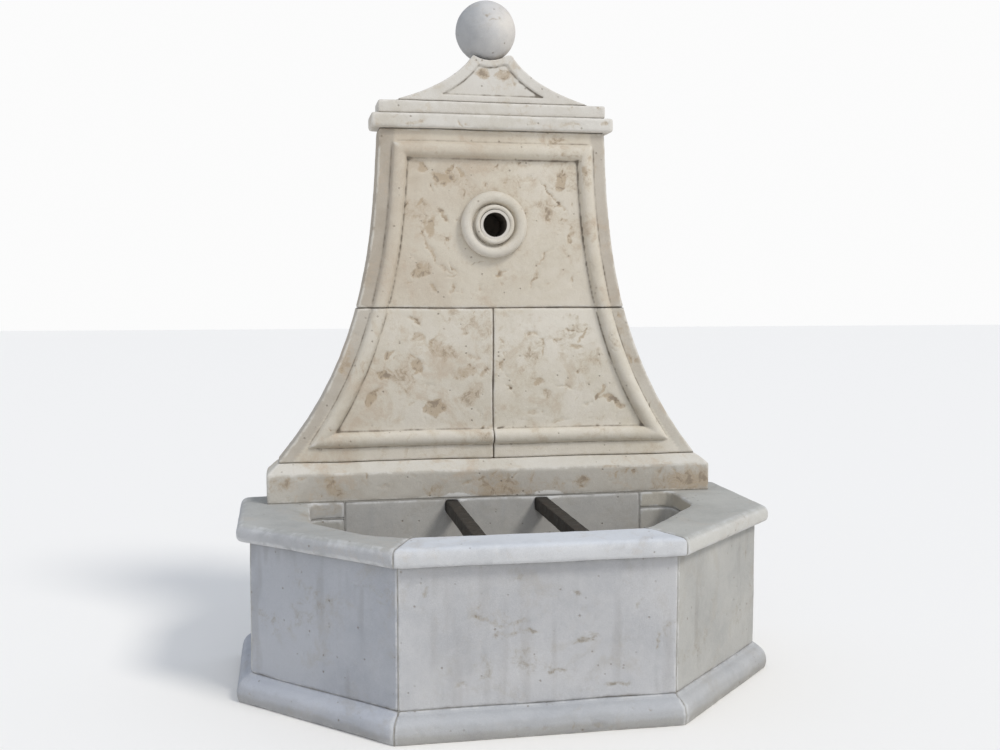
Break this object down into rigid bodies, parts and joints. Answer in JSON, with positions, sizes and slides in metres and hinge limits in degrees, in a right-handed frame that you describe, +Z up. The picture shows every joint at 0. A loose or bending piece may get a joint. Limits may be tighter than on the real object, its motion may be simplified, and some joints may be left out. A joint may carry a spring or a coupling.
{
  "type": "stone wall fountain",
  "caption": "Wall fountain of jointed limestone: half-octagonal basin with iron bars, flared backboard with a moulded frame and round spout hole, cornice, concave pediment and ball.",
  "frame": {"origin": "centre of the whole fountain's box, on the ground", "axes": "+Z up, -Y towards the front of the basin, +X to the right as seen from the front; the flat back face lies at y = +0.3925 m"},
  "size_m": [1.568, 0.873, 2.045],
  "materials": {
    "backboard_stone": "weathered cream limestone, dressed by hand, with tan stains and chips",
    "basin_stone": "weathered cool grey limestone, dressed by hand, worn arrises",
    "joint_mortar": "old dark lime mortar",
    "bar_iron": "brown-black wrought iron",
    "fixing_brass": "plain",
    "waste_brass": "dull, tarnished",
    "seal_rubber": "matt black"
  },
  "bodies": {
    "fountain": {"base_front": "basin_stone", "base_left": "basin_stone", "base_right": "basin_stone", "wall_front": "basin_stone", "wall_cant_left": "basin_stone", "wall_cant_right": "basin_stone", "wall_return_left": "basin_stone", "wall_return_right": "basin_stone", "wall_back": "basin_stone", "basin_floor": "basin_stone", "coping_front": "basin_stone", "coping_left": "basin_stone", "coping_right": "basin_stone", "bar_left": "bar_iron", "bar_right": "bar_iron", "backboard_plinth": "backboard_stone", "lower_panel_left": "backboard_stone", "lower_panel_right": "backboard_stone", "upper_panel": "backboard_stone", "spout_rosette": "backboard_stone", "spout_sleeve": "backboard_stone", "cornice_slab": "backboard_stone", "cornice_cap": "backboard_stone", "pediment": "backboard_stone", "ball_finial": "backboard_stone", "finial_dowel": "fixing_brass", "panel_dowels": "fixing_brass", "wall_cramps": "fixing_brass", "basin_mortar": "joint_mortar", "backboard_mortar": "joint_mortar", "waste_body": "waste_brass", "waste_washer": "seal_rubber", "waste_nut": "waste_brass"},
    "plug": {"waste_plug": "waste_brass", "plug_seal": "seal_rubber"}
  },
  "joints": [
    {"name": "plug_lift", "type": "slide", "parent": "fountain", "child": "plug", "axis": [0, 0, 1], "range_m": [0, 0.12]}
  ]
}
